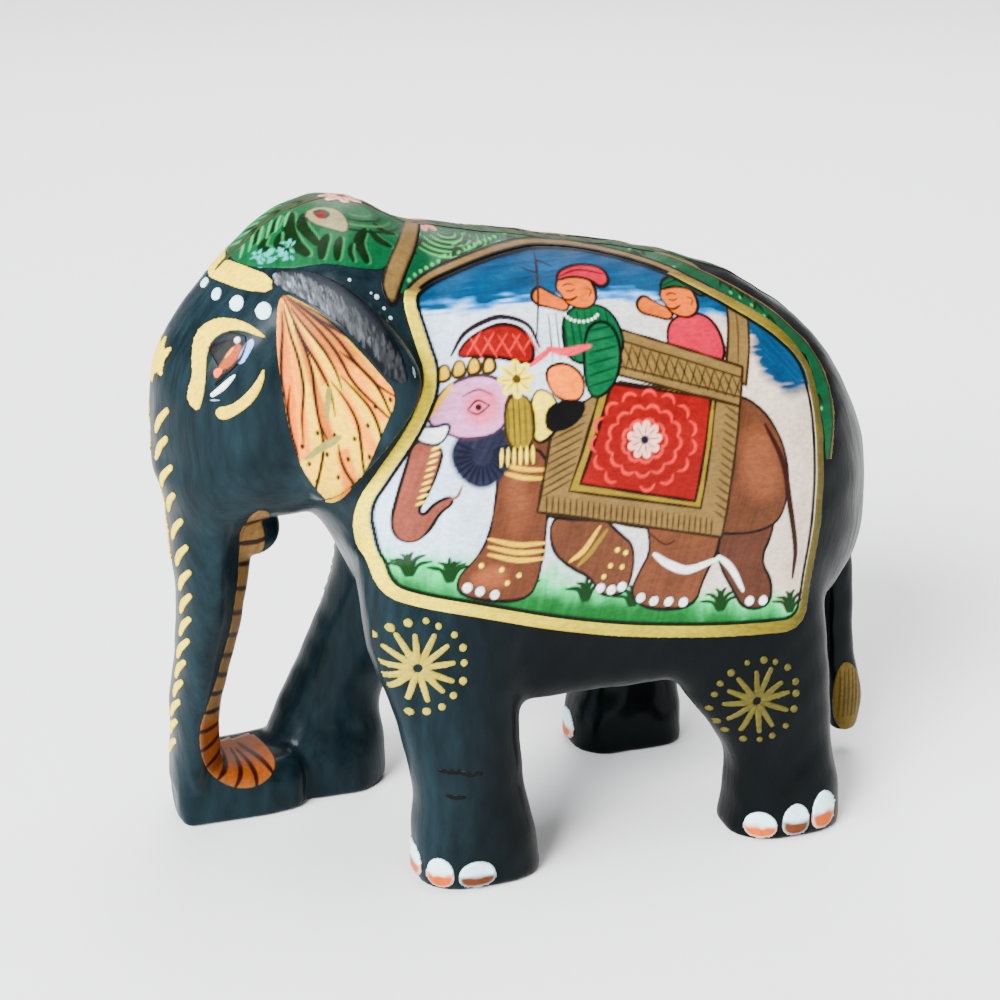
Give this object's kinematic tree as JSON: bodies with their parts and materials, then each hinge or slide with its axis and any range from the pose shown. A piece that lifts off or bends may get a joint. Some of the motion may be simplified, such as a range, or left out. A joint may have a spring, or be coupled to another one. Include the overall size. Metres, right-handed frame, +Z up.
{
  "type": "carved wooden elephant",
  "caption": "Standing carved wooden elephant figurine, black enamel with a painted riding scene on each flank, gold ornament and a trunk that curls down to one forefoot.",
  "frame": {"origin": "on the ground, under the middle of the figure's box", "axes": "+Z up, the head looks along -Y, the left flank faces +X"},
  "size_m": [0.0543, 0.126, 0.1096],
  "materials": {
    "black_enamel": "gloss black enamel brushed over carved wood",
    "picture_paint": "satin opaque paint on a thin white ground",
    "gold_paint": "satin gold paint, brushed",
    "green_paint": "satin green enamel",
    "stripe_paint": "satin brown paint with pale stripes",
    "ear_paint": "satin orange and cream paint",
    "white_paint": "satin white paint"
  },
  "bodies": {
    "root": {"carved_block": "black_enamel", "picture_ground_left": "picture_paint", "picture_ground_right": "picture_paint", "picture_border_left": "gold_paint", "picture_border_right": "gold_paint", "back_cloth": "green_paint", "head_cap": "green_paint", "neck_strap": "gold_paint", "forehead_band": "gold_paint", "trunk_stripes": "stripe_paint", "tail_tuft": "gold_paint", "ear_paint_left": "ear_paint", "ear_paint_right": "ear_paint", "eye_paint_left": "gold_paint", "eye_paint_right": "gold_paint", "trunk_chevrons": "gold_paint", "forehead_dots": "white_paint", "shoulder_rosette_left": "gold_paint", "shoulder_rosette_right": "gold_paint", "haunch_rosette_left": "gold_paint", "haunch_rosette_right": "gold_paint", "toenails_front_left": "white_paint", "toenails_front_right": "white_paint", "toenails_hind_left": "white_paint", "toenails_hind_right": "white_paint"}
  },
  "joints": []
}
